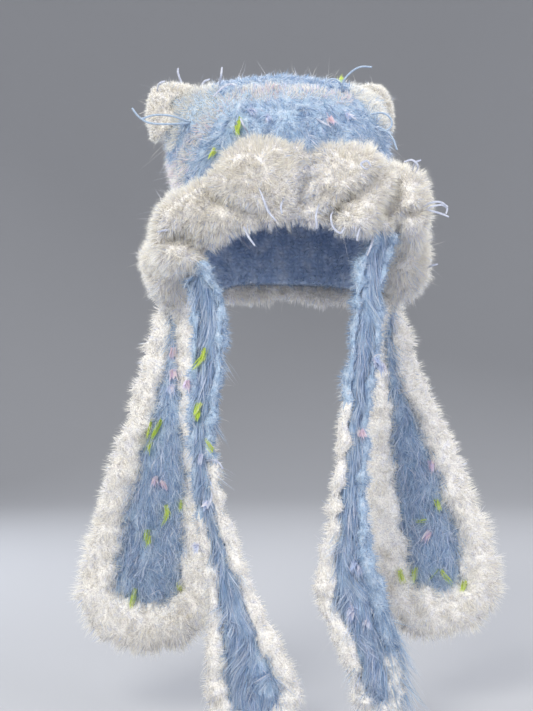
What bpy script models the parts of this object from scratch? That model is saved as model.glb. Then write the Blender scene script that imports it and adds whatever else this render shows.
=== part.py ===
# Crochet cat ear hat: a hollow bag crown with two cat ears, a ruffled fur brim, two long flared
# side flaps and two narrow ties. Metres, +Z up, the face looks along -Y, left is -X.
# The origin is the inside of the crown's top, where the hat sits on a head.
import bisect
import math

import bpy
from mathutils import Vector

# Segments round the head, a multiple of 4, shared by the bag and the ruffle
HEAD_SEGMENTS = 76

# Locks of fur on every furry surface: mean height as a share of the full one, and how its swing
# goes round and along a surface, in radians for each vertex
TUFT_MEAN = 0.62
TUFT_ACROSS = 2.4
TUFT_ALONG = 1.7

# Fit and walls
HEAD_HALF_WIDTH = 0.105
HEAD_HALF_DEPTH = 0.100
BRIM_DROP = 0.200
WALL = 0.010
EDGE_GAP = 0.0004
BRIM_GAP = 0.0007
SEAM_GAP = 0.0006

# Crown
TOP_ARCH = 0.020
CROWN_SHIFT = -0.019
CROWN_LEAN = math.radians(4.0)
CROWN_TURN = math.radians(17.0)
CORNER_SHARPNESS = 2.4
CROWN_LOCK = 0.005
CROWN_OUTER_ROWS = 11
CROWN_INNER_ROWS = 5
RING_SPACING = 1.35

# Sections of the bag: drop is 0 at the top and 1 at the rim, width and depth are shares of the
# head's half width and half depth.
CROWN_SECTIONS = (
    # drop, width, depth
    (0.00, 0.96, 0.10),
    (0.03, 1.03, 0.26),
    (0.08, 1.07, 0.43),
    (0.17, 1.09, 0.62),
    (0.32, 1.07, 0.82),
    (0.50, 1.03, 0.95),
    (0.70, 1.00, 1.00),
    (1.00, 1.00, 1.00),
)

# Ears: base and height lie in the bag's plane and are shares in the table, and the angle is
# measured up from level.
EAR_BASE = 0.080
EAR_HEIGHT = 0.024
EAR_THICKNESS = 0.034
EAR_FOOT_DROP = 0.05
EAR_SINK = 0.016
EAR_TIP = 0.16
EAR_TAPER = 0.62
EAR_FULLNESS = 0.45
EAR_ROWS = 9
EAR_SEGMENTS = 22
EAR_LOCK = 0.004
EARS = (
    # name, side, base, height, angle
    ("ear_left", -1, 1.00, 1.00, math.radians(46.0)),
    ("ear_right", 1, 0.88, 0.92, math.radians(62.0)),
)

# Brim
BRIM_REACH = 0.050
BRIM_HALF_HEIGHT = 0.045
BRIM_CREASE = 0.010
BRIM_OUTER_POINTS = 11
BRIM_INNER_POINTS = 3
BRIM_LOCK = 0.006
BRIM_ROUNDNESS = 0.8
RIM_BELOW_MIDDLE = 0.024
VALLEY_SQUEEZE = 0.45
VALLEY_SHARPNESS = 1.6
CREASE_PLACE = -0.30
CREASE_WIDTH = 0.24

# One row for each lobe of the ruffle. The angle in degrees runs from the forehead to the right.
# Depth is how far the lobe's middle lies below the top, a share of the brim's drop. Reach is how
# far it stands out from the bag, half_height half its height and crease the depth of the fold
# along it, as shares of the sizes above, and valley is how deep it dips before the next one.
BRIM_LOBES = (
    # angle, depth, reach, half_height, crease, valley
    (-162.0, 1.000, 0.70, 0.91, 0.0, 0.50),
    (-125.0, 1.060, 0.80, 0.91, 0.0, 0.45),
    (-91.0, 1.040, 0.98, 0.93, 0.5, 0.32),
    (-55.0, 0.865, 1.06, 1.09, 0.6, 0.55),
    (-18.0, 0.620, 0.74, 1.11, 0.0, 0.62),
    (28.0, 0.645, 0.68, 1.13, 1.0, 0.50),
    (62.0, 0.680, 1.00, 0.93, 0.4, 0.36),
    (92.0, 0.980, 0.94, 0.98, 0.5, 0.40),
    (127.0, 1.050, 0.80, 0.91, 0.0, 0.48),
    (164.0, 1.010, 0.70, 0.91, 0.0, 0.50),
)

# Flaps and ties. Length runs from the ruffle to where the end starts to round, end_curve is the
# depth of the panel's rounded end, end_edging is the edging's width there, and bow is how far the
# panel's middle stands forward.
FLAP_LENGTH = 0.330
TIE_LEFT_LENGTH = 0.450
TIE_RIGHT_LENGTH = 0.488
FLAP = dict(cloth=0.006, half_width=0.041, edging_width=0.036, edging_thickness=0.017,
            end_curve=0.018, end_edging=0.046, bow=0.005, rows=22)
TIE = dict(cloth=0.005, half_width=0.029, edging_width=0.022, edging_thickness=0.013,
           end_curve=0.022, end_edging=0.026, bow=0.003, rows=24)
EDGING_LOCK = 0.004
SETTLE = 0.055
SEAM_DEPTH = 0.5

# Each strip is sewn into the ruffle's underside. Fall is the share of the strip's length below
# the ruffle. Middle is the place of its centre line, in shares of the head's half width and half
# depth, half that of the blue panel's half width and edging that of the white edging's width.
# Turn is how far the strip is turned out of the plane that faces forward, in degrees.
FLAP_LEFT = (
    # fall, middle_x, middle_y, half, edging, turn
    (0.00, -1.219, 0.16, 0.17, 0.61, 30.0),
    (0.14, -1.257, 0.12, 0.15, 0.67, 18.0),
    (0.27, -1.295, 0.07, 0.27, 0.67, 10.0),
    (0.40, -1.333, 0.04, 0.44, 0.69, 4.0),
    (0.52, -1.381, 0.02, 0.61, 0.72, 0.0),
    (0.64, -1.429, 0.04, 0.76, 0.75, -3.0),
    (0.76, -1.476, 0.08, 0.88, 0.81, 2.0),
    (0.88, -1.524, 0.10, 1.00, 0.89, 6.0),
    (1.00, -1.543, 0.08, 1.00, 1.00, 4.0),
)
FLAP_RIGHT = (
    # fall, middle_x, middle_y, half, edging, turn
    (0.00, 1.067, 0.44, 0.17, 0.58, 40.0),
    (0.14, 1.105, 0.46, 0.15, 0.61, 22.0),
    (0.27, 1.171, 0.46, 0.17, 0.64, 10.0),
    (0.40, 1.276, 0.45, 0.34, 0.64, 3.0),
    (0.52, 1.371, 0.44, 0.51, 0.67, -2.0),
    (0.64, 1.448, 0.44, 0.68, 0.69, -4.0),
    (0.76, 1.533, 0.47, 0.80, 0.78, 2.0),
    (0.88, 1.619, 0.50, 0.88, 0.92, 6.0),
    (1.00, 1.667, 0.48, 0.85, 1.03, 4.0),
)
TIE_LEFT = (
    # fall, middle_x, middle_y, half, edging, turn
    (0.00, -0.838, -0.76, 0.31, 0.36, 20.0),
    (0.15, -0.829, -0.86, 0.31, 0.32, 8.0),
    (0.26, -0.876, -0.90, 0.28, 0.32, 2.0),
    (0.37, -0.905, -0.90, 0.17, 0.32, 12.0),
    (0.48, -0.876, -0.88, 0.21, 0.36, 30.0),
    (0.59, -0.800, -0.85, 0.24, 0.45, 24.0),
    (0.70, -0.676, -0.84, 0.31, 0.59, 8.0),
    (0.80, -0.581, -0.84, 0.45, 0.73, 0.0),
    (0.91, -0.457, -0.84, 0.72, 0.91, -4.0),
    (1.00, -0.371, -0.84, 1.00, 1.00, -4.0),
)
TIE_RIGHT = (
    # fall, middle_x, middle_y, half, edging, turn
    (0.00, 0.848, -0.76, 0.28, 0.32, 20.0),
    (0.15, 0.800, -0.84, 0.28, 0.32, 8.0),
    (0.26, 0.743, -0.88, 0.28, 0.32, 2.0),
    (0.37, 0.676, -0.88, 0.21, 0.32, 8.0),
    (0.48, 0.629, -0.86, 0.21, 0.41, 14.0),
    (0.59, 0.600, -0.84, 0.28, 0.55, 6.0),
    (0.70, 0.581, -0.84, 0.34, 0.73, -6.0),
    (0.80, 0.619, -0.82, 0.55, 0.95, 0.0),
    (0.91, 0.781, -0.80, 0.48, 0.86, 18.0),
    (1.00, 0.895, -0.80, 0.41, 0.77, 12.0),
)

# Angle, in degrees, and seat, a share of the ruffle's reach, place the strip's top in the ruffle.
STRIPS = (
    dict(FLAP, name="flap_left", table=FLAP_LEFT, angle=-101.0, seat=0.50, length=FLAP_LENGTH),
    dict(FLAP, name="flap_right", table=FLAP_RIGHT, angle=111.0, seat=0.45, length=FLAP_LENGTH),
    dict(TIE, name="tie_left", table=TIE_LEFT, angle=-53.0, seat=0.30, length=TIE_LEFT_LENGTH),
    dict(TIE, name="tie_right", table=TIE_RIGHT, angle=53.0, seat=0.30, length=TIE_RIGHT_LENGTH),
)
STRIP_COLUMNS = 4
BOTTOM_ROWS = 6
# Rounded part of the edging's section, between the two edges of its flat side
EDGING_SECTION = (
    # across, thick: shares of the edging's width and half thickness
    (0.30, -1.00),
    (0.78, -0.80),
    (1.00, 0.00),
    (0.78, 0.80),
    (0.30, 1.00),
)


def clear_scene():
    for item in list(bpy.data.objects):
        bpy.data.objects.remove(item, do_unlink=True)


def tuft(index, row):
    """Share of the full lock at a vertex: every other one stands up, each by its own amount."""
    swing = math.sin(TUFT_ACROSS * index + TUFT_ALONG * row)
    return (index + row) % 2 * (TUFT_MEAN + (1.0 - TUFT_MEAN) * swing)


def smoothstep(value):
    value = min(1.0, max(0.0, value))
    return value * value * (3.0 - 2.0 * value)


def slope(table, index, column):
    """Slope of a column at a row of a table, from its neighbours."""
    low = max(0, index - 1)
    high = min(len(table) - 1, index + 1)
    return (table[high][column] - table[low][column]) / (table[high][0] - table[low][0])


def read_table(table, place, column):
    """Value of a column between the rows, on a smooth curve through them."""
    places = [row[0] for row in table]
    index = min(len(table) - 2, max(0, bisect.bisect_right(places, place) - 1))
    first, second = table[index], table[index + 1]
    span = second[0] - first[0]
    share = min(1.0, max(0.0, (place - first[0]) / span))
    square, cube = share ** 2, share ** 3
    return ((2 * cube - 3 * square + 1) * first[column]
            + (cube - 2 * square + share) * span * slope(table, index, column)
            + (3 * square - 2 * cube) * second[column]
            + (cube - square) * span * slope(table, index + 1, column))


def lobe_at(angle):
    """Middle height, reach, half height and crease of the ruffle at an angle in degrees."""
    angle = (angle + 180.0) % 360.0 - 180.0
    rows = list(BRIM_LOBES)
    first, last = rows[0], rows[-1]
    rows.insert(0, (last[0] - 360.0,) + last[1:])
    rows.append((first[0] + 360.0,) + first[1:])
    places = [row[0] for row in rows]
    index = min(len(rows) - 2, max(0, bisect.bisect_right(places, angle) - 1))
    low, high = rows[index], rows[index + 1]
    share = (angle - low[0]) / (high[0] - low[0])
    blend = smoothstep(share)
    depth, reach, half, crease = (a + (b - a) * blend for a, b in zip(low[1:5], high[1:5]))
    pinch = low[5] * (1.0 - abs(2.0 * share - 1.0)) ** VALLEY_SHARPNESS
    return (-depth * BRIM_DROP, reach * BRIM_REACH * (1.0 - pinch),
            half * BRIM_HALF_HEIGHT * (1.0 - VALLEY_SQUEEZE * pinch), crease * BRIM_CREASE)


def rim_height(angle):
    return lobe_at(angle)[0] - RIM_BELOW_MIDDLE


def signed_power(value, power):
    return math.copysign(abs(value) ** power, value)


def crown_point(angle, drop, outward, height=None):
    """Point beside the bag's inner face: angle round the head in degrees, drop from the top to
    the rim, and the distance outward. A given height replaces the one that goes with the drop."""
    section = min(1.0, drop)
    half_width = HEAD_HALF_WIDTH * read_table(CROWN_SECTIONS, section, 1) + outward
    half_depth = HEAD_HALF_DEPTH * read_table(CROWN_SECTIONS, section, 2) + outward
    power = 2.0 / CORNER_SHARPNESS
    across = signed_power(math.sin(math.radians(angle)), power)
    along = signed_power(math.cos(math.radians(angle)), power)
    x = half_width * across
    y = -half_depth * along
    loose = max(0.0, 1.0 - drop)
    if height is None:
        height = outward - drop * (outward - rim_height(angle))
        height += loose ** 2 * (math.tan(CROWN_LEAN) * x - TOP_ARCH * across ** 2)
    turn = CROWN_TURN * loose
    turned_x = x * math.cos(turn) - y * math.sin(turn) + CROWN_SHIFT * loose
    turned_y = x * math.sin(turn) + y * math.cos(turn)
    return Vector((turned_x, turned_y, height))


def segment_angle(index):
    return 360.0 * index / HEAD_SEGMENTS


def ring_drop(row, rows):
    """Drop of a ring of the bag: the rings are closer together near the top."""
    return (row / rows) ** RING_SPACING


def brim_cover(index):
    """Least drop at which the ruffle's upper edge meets the bag, near one segment."""
    covers = []
    for near in (index - 1, index, index + 1):
        height, reach, half, crease = lobe_at(segment_angle(near))
        covers.append((WALL - height - half) / (WALL - rim_height(segment_angle(near))))
    return min(covers)


def outer_ring(row):
    """One ring of the bag's outer face, with its locks of pile above the ruffle."""
    points = []
    for index in range(HEAD_SEGMENTS):
        lock = 0.0
        if 0 < row and ring_drop(row + 1, CROWN_OUTER_ROWS) < brim_cover(index):
            lock = CROWN_LOCK * tuft(index, row)
        drop = ring_drop(row, CROWN_OUTER_ROWS)
        points.append(crown_point(segment_angle(index), drop, WALL + lock))
    return points


def inner_ring(row):
    """One ring of the bag's inner face."""
    drop = ring_drop(row, CROWN_INNER_ROWS)
    return [crown_point(segment_angle(index), drop, 0.0) for index in range(HEAD_SEGMENTS)]


def ring_faces(count, lower, upper):
    """Quads between two rings of vertices that start at two indices."""
    return [(lower + i, lower + (i + 1) % count, upper + (i + 1) % count, upper + i)
            for i in range(count)]


def lid_faces(count, start, flip):
    """Faces that close a flat ring, from its front side straight to its back side."""
    faces = []
    quarter, half = count // 4, count // 2
    for i in range(-quarter, quarter):
        face = [i % count, (i + 1) % count, (half - i - 1) % count, (half - i) % count]
        unique = [start + v for k, v in enumerate(face) if v not in face[:k]]
        faces.append(tuple(reversed(unique)) if flip else tuple(unique))
    return faces


def make_material(name, colour, roughness):
    material = bpy.data.materials.new(name)
    material.use_nodes = True
    shader = material.node_tree.nodes["Principled BSDF"]
    shader.inputs["Base Color"].default_value = (*colour, 1.0)
    shader.inputs["Roughness"].default_value = roughness
    shader.inputs["Metallic"].default_value = 0.0
    return material


def fan(face):
    """A face as triangles from its first corner, so that neighbours are split alike."""
    return [(face[0], face[i], face[i + 1]) for i in range(1, len(face) - 1)]


def make_object(name, points, faces, material):
    triangles = [triangle for face in faces for triangle in fan(face)]
    mesh = bpy.data.meshes.new(name)
    mesh.from_pydata([tuple(point) for point in points], [], triangles)
    mesh.materials.append(material)
    mesh.shade_smooth()
    item = bpy.data.objects.new(name, mesh)
    bpy.context.scene.collection.objects.link(item)
    return item


def make_guide(item):
    """Turn an object into a cutter, grown by the seam's gap, which is no piece of the hat."""
    for vertex in item.data.vertices:
        vertex.co += vertex.normal * SEAM_GAP
    item.hide_render = True
    item.display_type = "WIRE"
    return item


def cut_away(item, guide):
    """Cut an object back to where a guide ends, so that it sits on the guide's piece."""
    cut = item.modifiers.new("Seat", "BOOLEAN")
    cut.operation = "DIFFERENCE"
    cut.object = guide
    cut.use_self = True


def make_bag(name, rings, material):
    """A closed solid from rings of points, the first and the last one closed by lids."""
    faces = []
    for row in range(len(rings) - 1):
        faces += ring_faces(HEAD_SEGMENTS, (row + 1) * HEAD_SEGMENTS, row * HEAD_SEGMENTS)
    faces += lid_faces(HEAD_SEGMENTS, 0, False)
    faces += lid_faces(HEAD_SEGMENTS, (len(rings) - 1) * HEAD_SEGMENTS, True)
    points = [point for ring in rings for point in ring]
    return make_object(name, points, faces, material)


def make_crown(material):
    """The hollow bag: outer rings from the top to the rim, then inner rings back up."""
    outer = [outer_ring(row) for row in range(CROWN_OUTER_ROWS + 1)]
    inner = [inner_ring(row) for row in range(CROWN_INNER_ROWS, -1, -1)]
    return make_bag("crown_bag", outer + inner, material)


def make_crown_guide(material):
    """The bag's outer form, filled, which shapes the foot of each ear."""
    outer = [outer_ring(row) for row in range(CROWN_OUTER_ROWS + 1)]
    return make_guide(make_bag("ear_foot_guide", outer, material))


def make_ear(name, side, base, height, angle, guide, material):
    """A soft triangular ear over a top corner of the bag, cut to sit on the bag."""
    foot = crown_point(side * 90.0, EAR_FOOT_DROP, WALL)
    level = Vector((math.cos(CROWN_TURN), math.sin(CROWN_TURN), 0.0)) * side
    upright = Vector((0.0, 0.0, 1.0))
    axis = level * math.cos(angle) + upright * math.sin(angle)
    across = level * math.sin(angle) - upright * math.cos(angle)
    through = Vector((-math.sin(CROWN_TURN), math.cos(CROWN_TURN), 0.0))
    points, faces = [], []
    for row in range(EAR_ROWS):
        share = row / (EAR_ROWS - 1)
        up = -EAR_SINK + share * (height + EAR_SINK)
        narrow = 1.0 - share
        half_width = base / 2.0 * (EAR_TIP + (1.0 - EAR_TIP) * narrow ** EAR_TAPER)
        half_thick = EAR_THICKNESS / 2.0 * (EAR_TIP + (1.0 - EAR_TIP) * narrow ** EAR_FULLNESS)
        for index in range(EAR_SEGMENTS):
            around = 2.0 * math.pi * index / EAR_SEGMENTS
            lock = EAR_LOCK * tuft(index, row) if 0 < row < EAR_ROWS - 1 else 0.0
            points.append(foot + axis * up
                          + across * (half_width + lock) * math.cos(around)
                          + through * (half_thick + lock) * math.sin(around))
    for row in range(EAR_ROWS - 1):
        faces += ring_faces(EAR_SEGMENTS, row * EAR_SEGMENTS, (row + 1) * EAR_SEGMENTS)
    top = (EAR_ROWS - 1) * EAR_SEGMENTS
    faces.append(tuple(reversed(range(EAR_SEGMENTS))))
    points.append(foot + axis * (height + EAR_LOCK))
    tip = len(points) - 1
    faces += [(top + i, top + (i + 1) % EAR_SEGMENTS, tip) for i in range(EAR_SEGMENTS)]
    if side < 0:
        faces = [tuple(reversed(face)) for face in faces]
    ear = make_object(name, points, faces, material)
    cut_away(ear, guide)


def brim_section(angle):
    """Section of the ruffle: outer side from its lower edge up, then the side on the bag."""
    middle, reach, half, crease = lobe_at(angle)
    section = []
    for step in range(BRIM_OUTER_POINTS):
        level = math.sin(math.pi * (step / (BRIM_OUTER_POINTS - 1) - 0.5))
        out = reach * max(0.0, 1.0 - level ** 2) ** (BRIM_ROUNDNESS / 2.0)
        out -= crease * math.exp(-((level - CREASE_PLACE) / CREASE_WIDTH) ** 2)
        section.append((max(0.0, out), middle + half * level))
    for step in range(1, BRIM_INNER_POINTS + 1):
        level = 1.0 - 2.0 * step / (BRIM_INNER_POINTS + 1)
        section.append((0.0, middle + half * level))
    return section


def make_brim(name, material):
    """The ruffle: a closed ring of lobes whose inner side lies on the bag."""
    points = []
    count = BRIM_OUTER_POINTS + BRIM_INNER_POINTS
    for index in range(HEAD_SEGMENTS):
        angle = segment_angle(index)
        for step, (out, height) in enumerate(brim_section(angle)):
            lock = 0.0
            if 0 < step < BRIM_OUTER_POINTS - 1:
                lock = BRIM_LOCK * tuft(index, step)
            drop = (WALL - height) / (WALL - rim_height(angle))
            points.append(crown_point(angle, drop, WALL + BRIM_GAP + out + lock,
                                      brim_lift(angle, drop, height)))
    faces = []
    for index in range(HEAD_SEGMENTS):
        here = index * count
        there = (index + 1) % HEAD_SEGMENTS * count
        faces += [(here + i, there + i, there + (i + 1) % count, here + (i + 1) % count)
                  for i in range(count)]
    return make_object(name, points, faces, material)


def brim_lift(angle, drop, height):
    """Height of a point of the ruffle, moved as the bag's wall beside it is moved."""
    on_wall = crown_point(angle, drop, WALL)
    level = WALL - drop * (WALL - rim_height(angle))
    return height + on_wall.z - level


def free_frame(strip, height):
    """Middle, sideways direction, half width and edging width of a strip in its own line."""
    fall = min(1.0, max(0.0, (strip["top"] - height) / strip["length"]))
    middle_x, middle_y, half, edging, turn = (
        read_table(strip["table"], fall, column) for column in range(1, 6))
    turn = math.radians(turn)
    middle = Vector((middle_x * HEAD_HALF_WIDTH, middle_y * HEAD_HALF_DEPTH, height))
    side = Vector((math.cos(turn) * strip["inward"], -math.sin(turn), 0.0))
    return middle, side, half * strip["half_width"], edging * strip["edging_width"]


def strip_frame(strip, height):
    """Frame of a strip, which follows the ruffle where it is sewn in and settles below it."""
    middle, side, half, edging = free_frame(strip, height)
    angle, seat = strip["angle"], WALL + strip["seat"] * lobe_at(strip["angle"])[1]
    sewn = crown_point(angle, 1.0, seat, height)
    along = crown_point(angle + strip["inward"], 1.0, seat, height) - sewn
    settled = smoothstep((strip["seam"] - height) / SETTLE)
    side = along.normalized().lerp(side, settled).normalized()
    return sewn.lerp(middle, settled), side, half, edging


def strip_point(strip, share, height):
    """Point of a strip's middle surface: share is -1 on its outer side edge, 1 on its inner one."""
    middle, side, half, edging = strip_frame(strip, height)
    front = level_normal(side) * strip["inward"]
    return middle + side * half * share + front * strip["bow"] * (1.0 - share ** 2)


def level_normal(side):
    return Vector((side.y, -side.x, 0.0))


def strip_heights(strip):
    """Heights of a strip's level rows, from inside the ruffle to where its end rounds."""
    end = strip["top"] - strip["length"]
    step = (strip["seam"] - end) / strip["rows"]
    return [strip["seam"] - step * row for row in range(strip["rows"] + 1)]


def panel_rows(strip):
    """Rows of points on the panel's middle surface, from the seam to the rounded end."""
    shares = [2.0 * column / STRIP_COLUMNS - 1.0 for column in range(STRIP_COLUMNS + 1)]
    rows = [[strip_point(strip, share, height) for share in shares]
            for height in strip_heights(strip)]
    end = strip["top"] - strip["length"]
    for step in range(1, BOTTOM_ROWS):
        swing = 0.5 * math.pi * step / BOTTOM_ROWS
        height = end - strip["end_curve"] * math.sin(swing)
        rows.append([strip_point(strip, share * math.cos(swing), height) for share in shares])
    return rows


def make_panel(strip, material):
    """A strip's blue panel: a sheet of one thickness."""
    rows = panel_rows(strip)
    points = []
    for row in rows:
        normal = level_normal((row[-1] - row[0]).normalized()) * strip["cloth"] / 2.0
        points += [point + normal for point in row]
        points += [point - normal for point in reversed(row)]
    loop = 2 * (STRIP_COLUMNS + 1)
    faces = []
    for index in range(len(rows) - 1):
        faces += ring_faces(loop, (index + 1) * loop, index * loop)
    for column in range(STRIP_COLUMNS):
        lid = (column, column + 1, loop - column - 2, loop - column - 1)
        last = (len(rows) - 1) * loop
        faces.append(lid)
        faces.append(tuple(last + index for index in reversed(lid)))
    return make_object(strip["name"] + "_panel", points, faces, material)


def edging_stations(strip):
    """Inner point of the edging, its reach outward and the level normal at each station: down
    the outer side edge, round the end and up the inner side edge."""
    heights = strip_heights(strip)
    end = heights[-1]

    def station(share, height, below):
        middle, side, half, edging = strip_frame(strip, height)
        outward = side * share * edging - Vector((0.0, 0.0, below))
        inner = strip_point(strip, share, height) + outward.normalized() * EDGE_GAP
        return inner, outward, level_normal(side)

    stations = [station(-1.0, height, 0.0) for height in heights]
    for step in range(1, 2 * BOTTOM_ROWS):
        swing = 0.5 * math.pi * step / BOTTOM_ROWS
        height = end - strip["end_curve"] * math.sin(swing)
        stations.append(station(-math.cos(swing), height, strip["end_edging"] * math.sin(swing)))
    stations += [station(1.0, height, 0.0) for height in reversed(heights)]
    return stations


def make_edging(strip, material):
    """A strip's white edging: a fat band of locks with its flat side along the panel's edge."""
    count = len(EDGING_SECTION) + 2
    stations = edging_stations(strip)
    points = []
    for index, (inner, out, normal) in enumerate(stations):
        points.append(inner - normal * strip["cloth"] / 2.0)
        for step, (across, thick) in enumerate(EDGING_SECTION):
            swell = EDGING_LOCK * tuft(index, step)
            level = (strip["edging_thickness"] + swell) / 2.0 * thick
            points.append(inner + (out + out.normalized() * swell) * across + normal * level)
        points.append(inner + normal * strip["cloth"] / 2.0)
    faces = []
    for index in range(len(stations) - 1):
        quads = ring_faces(count, (index + 1) * count, index * count)
        flat_side = quads.pop()
        faces += quads
        faces.append(flat_side[1:] + flat_side[:1])
    faces.append(tuple(range(count)))
    last = (len(stations) - 1) * count
    faces.append(tuple(reversed(range(last, last + count))))
    return make_object(strip["name"] + "_trim", points, faces, material)


def main():
    clear_scene()
    blue_pile = make_material("blue_pile", (0.33, 0.47, 0.70), 0.9)
    white_fur = make_material("white_fur", (0.80, 0.75, 0.69), 0.95)
    make_crown(blue_pile)
    crown_guide = make_crown_guide(blue_pile)
    for name, side, base, height, angle in EARS:
        make_ear(name, side, base * EAR_BASE, height * EAR_HEIGHT, angle, crown_guide, white_fur)
    make_brim("brim_ruffle", white_fur)
    brim_guide = make_guide(make_brim("strip_seam_guide", white_fur))
    for strip in STRIPS:
        strip = dict(strip)
        strip["inward"] = -1.0 if strip["angle"] > 0 else 1.0
        height, reach, half, crease = lobe_at(strip["angle"])
        strip["top"] = height - half
        strip["seam"] = height - half * SEAM_DEPTH
        for piece in (make_panel(strip, blue_pile), make_edging(strip, white_fur)):
            cut_away(piece, brim_guide)


main()
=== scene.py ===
"""Looks of a crocheted hat with cat ears, a ruffled brim, side flaps and long ties.

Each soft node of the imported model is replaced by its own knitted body, and fur grows on the
bodies as thin tapered blades: long blue lash yarn on the cloth and dense white pile elsewhere.
"""

import math

import bmesh
import bpy
import numpy as np
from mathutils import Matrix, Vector, noise
from mathutils.bvhtree import BVHTree
from mathutils.kdtree import KDTree


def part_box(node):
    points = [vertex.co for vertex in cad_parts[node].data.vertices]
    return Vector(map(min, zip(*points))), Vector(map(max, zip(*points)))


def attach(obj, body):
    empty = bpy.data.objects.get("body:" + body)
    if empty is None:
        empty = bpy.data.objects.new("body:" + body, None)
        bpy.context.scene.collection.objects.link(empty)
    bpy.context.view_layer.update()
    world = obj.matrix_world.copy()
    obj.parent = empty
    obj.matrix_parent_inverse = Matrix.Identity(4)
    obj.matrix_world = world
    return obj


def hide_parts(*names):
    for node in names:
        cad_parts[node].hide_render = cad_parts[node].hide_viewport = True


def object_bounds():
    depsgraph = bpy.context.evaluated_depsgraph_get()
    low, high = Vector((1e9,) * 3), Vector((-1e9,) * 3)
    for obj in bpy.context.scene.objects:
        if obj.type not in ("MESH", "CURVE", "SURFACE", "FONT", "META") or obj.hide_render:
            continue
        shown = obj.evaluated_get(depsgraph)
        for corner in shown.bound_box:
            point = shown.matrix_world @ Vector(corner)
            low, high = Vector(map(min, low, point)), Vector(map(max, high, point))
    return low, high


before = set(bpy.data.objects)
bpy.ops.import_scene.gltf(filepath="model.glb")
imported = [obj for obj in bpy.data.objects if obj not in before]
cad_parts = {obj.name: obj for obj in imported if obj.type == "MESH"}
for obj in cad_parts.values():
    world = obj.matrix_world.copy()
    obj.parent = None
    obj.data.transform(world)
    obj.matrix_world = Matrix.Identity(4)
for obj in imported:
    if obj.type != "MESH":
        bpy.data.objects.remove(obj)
cad_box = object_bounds()

# Photograph's frame and view: the focal length is in its pixels, the place in metres
PHOTO_WIDTH = 533
PHOTO_HEIGHT = 711
FOCAL_PIXELS = 1217.4
SENSOR_HEIGHT = 36.0
CAMERA_PLACE = Vector((-0.0259, -1.4, -0.3065))

# Studio
FLOOR_DROP = 0.012
BOWL_RADIUS = 3.4
BOWL_FILLET = 1.2
BOWL_HEIGHT = 3.4
BOWL_FILLET_STEPS = 12
BOWL_TURN_STEPS = 96
PAINT = (168, 170, 176)
PAINT_ROUGHNESS = 0.85
SKY = (250, 250, 252)
SKY_STRENGTH = 0.55
# Lamps, as (name, place, aim, size, power, colour)
LAMPS = (
    ("key", (-0.9, -1.9, 1.0), (0.0, 0.0, -0.2), 1.1, 47.0, (255, 252, 242)),
    ("fill", (1.6, -1.5, 0.1), (0.0, 0.0, -0.3), 1.4, 22.0, (250, 250, 252)),
    ("rim", (0.9, 1.5, 1.2), (0.0, 0.0, -0.2), 1.0, 38.0, (255, 255, 255)),
    ("back", (-1.4, 1.2, 0.3), (0.0, 0.0, -0.3), 1.0, 22.0, (246, 250, 255)),
)

# Materials. Patches, grain, bumps, plies and fuzz are scales of noise over metres, reliefs and
# loops are in metres, and the rest are shares. A spread is where a ramp starts and its reach.
BUMP_STRENGTH = 0.8
FUR_SHEEN = 0.25
FUR_SHEEN_ROUGHNESS = 0.5
# How far up a blade the painted shade at its root reaches
ROOT_PAINTED_SHADE_REACH = 0.75
UNDERFUR = dict(roughness=0.95, patches=140.0, patch_detail=5.0, patch_spread=(0.32, 0.36),
                grain=700.0, grain_stops=(0.3, 0.6), bumps=500.0, relief=0.0006, sheen=0.3)
KNIT = dict(roughness=0.92, loop_width=0.007, loop_height=0.0055, distortion=7.0, detail=2.0,
            detail_scale=1.2, patches=60.0, patch_spread=(0.35, 0.3), painted_hollow_shade_stops=(0.0, 0.5),
            fuzz=900.0, fuzz_share=0.4, relief=0.0007, sheen=0.4)
YARN = dict(plies=420.0, ply_stops=(0.3, 0.7), bumps=900.0, relief=0.0003, sheen=0.3)
# A wave texture's bands lie pi / 10 apart at scale 1
WAVE_LENGTH = math.pi / 10.0

# Surfaces and the tests on them
SAME_PLACE = 1e-5
TINY = 1e-12
# A look out from a surface starts this far in front of it
LOOK_START = 0.0003
BURIED_REACH = 0.030
# Steps of the noise for each unit of a seed, one set for directions and one for values
DIRECTION_STEPS = (3.7, 1.3, 2.1)
VALUE_STEPS = (2.9, 4.1, 1.7)

# Fur
SEED = 20
ROOT_DEPTH = 0.0012
# Share of a curl into the cloth that is taken off it
OUT_OF_CLOTH = 0.75
# Some blades are a shorter and broader undercoat
UNDERCOAT_SHARE = 0.40
UNDERCOAT_LENGTH = 0.68
UNDERCOAT_WIDTH = 2.3
# Each blade's length and width vary between these shares of its kind's own
LENGTH_SHARES = (0.62, 1.15)
WIDTH_SHARES = (0.7, 1.3)
# Weights of scatter and fan in a blade's lean, and of bend and lie in its curl
LEAN_WEIGHT = 0.6
CURL_WEIGHT = 0.5
# Blades shorten towards the edge of a puff by this share of its fan, up to this far out
PUFF_FALL = 0.20
PUFF_FAR = 3.0
# Tips draw together by this power of the share along a blade, and blades narrow by this share
CLUMP_POWER = 1.4
BLADE_TAPER = 0.55
# Share of ice blue in plain white pile
PILE_ICE = 0.03
# Free edge of the fur's map above and below the blades
MAP_MARGIN = 0.01

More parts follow.
